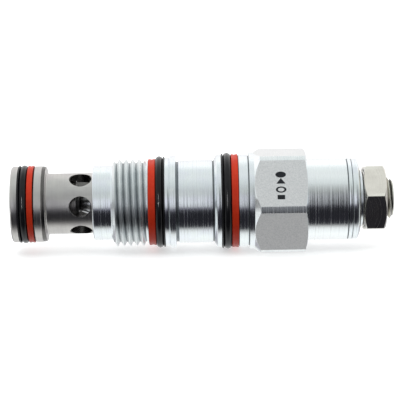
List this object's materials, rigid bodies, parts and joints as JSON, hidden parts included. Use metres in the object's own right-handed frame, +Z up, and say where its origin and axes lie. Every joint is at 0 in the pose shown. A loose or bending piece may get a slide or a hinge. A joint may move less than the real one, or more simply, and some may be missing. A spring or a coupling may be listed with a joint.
{
  "type": "cartridge valve",
  "caption": "Screw-in three-port counterbalance cartridge valve: sealed nose sleeve with radial holes, threaded body, hexagon, spring tube and screw adjuster with locknut.",
  "frame": {"origin": "on the valve's axis, halfway between the nose end face and the end of the adjusting screw", "axes": "+X along the axis from the nose to the adjuster, +Z up through a flat of the hexagon"},
  "size_m": [0.0876, 0.0248, 0.0222],
  "materials": {
    "zinc_plate": "bright zinc plate over turned steel",
    "sleeve_steel": "heat-treated turned steel, satin",
    "ground_steel": "ground hardened steel",
    "spring_steel": "oiled spring wire",
    "nickel_steel": "dull nickel-grey plated steel",
    "nitrile": "black rubber, slight sheen",
    "black_backup": "black filled plastic",
    "red_backup": "orange-red plastic, satin"
  },
  "bodies": {
    "root": {"valve_body": "zinc_plate", "sleeve_lock_wire": "spring_steel", "lower_backup_red": "red_backup", "lower_o_ring": "nitrile", "lower_backup_black": "black_backup", "upper_backup_black": "black_backup", "upper_o_ring": "nitrile", "upper_backup_red": "red_backup", "nose_sleeve": "sleeve_steel", "nose_backup_black": "black_backup", "nose_o_ring": "nitrile", "nose_backup_red": "red_backup", "nose_snap_ring": "spring_steel", "check_spring_retainer": "ground_steel", "check_spring": "spring_steel", "main_spring": "spring_steel", "adjuster_cap": "zinc_plate", "cap_o_ring": "nitrile"},
    "check_poppet": {"check_poppet": "ground_steel"},
    "relief_piston": {"relief_piston": "ground_steel", "piston_lower_o_ring": "nitrile", "piston_lower_backup": "black_backup", "piston_upper_o_ring": "nitrile", "piston_upper_backup": "black_backup", "lower_spring_seat": "ground_steel"},
    "adjuster_slider": {"upper_spring_seat": "ground_steel", "adjuster_o_ring": "nitrile", "adjuster_backup_ring": "black_backup"},
    "adjusting_screw": {"adjusting_screw": "nickel_steel"},
    "locknut": {"locknut": "nickel_steel"}
  },
  "joints": [
    {"name": "check_slide", "type": "slide", "parent": "root", "child": "check_poppet", "axis": [-1, 0, 0], "range_m": [0, 0.002], "stiffness_N_per_m": 120, "deforming": ["check_spring"]},
    {"name": "piston_slide", "type": "slide", "parent": "root", "child": "relief_piston", "axis": [1, 0, 0], "range_m": [0, 0.0018], "stiffness_N_per_m": 600, "deforming": ["main_spring"]},
    {"name": "adjuster_travel", "type": "slide", "parent": "root", "child": "adjuster_slider", "axis": [1, 0, 0], "range_m": [-0.00159, 0.00159], "deforming": ["main_spring"]},
    {"name": "adjuster_turn", "type": "hinge", "parent": "adjuster_slider", "child": "adjusting_screw", "pos_m": [0.0362, 0, 0], "axis": [1, 0, 0], "range_deg": [-540, 540]},
    {"name": "locknut_turn", "type": "hinge", "parent": "root", "child": "locknut", "pos_m": [0.0394, 0, 0], "axis": [1, 0, 0], "range_deg": [0, 90]}
  ],
  "couplings": [
    {"joint": "adjuster_turn", "follows": "adjuster_travel", "rad_per_m": 5936.8}
  ]
}
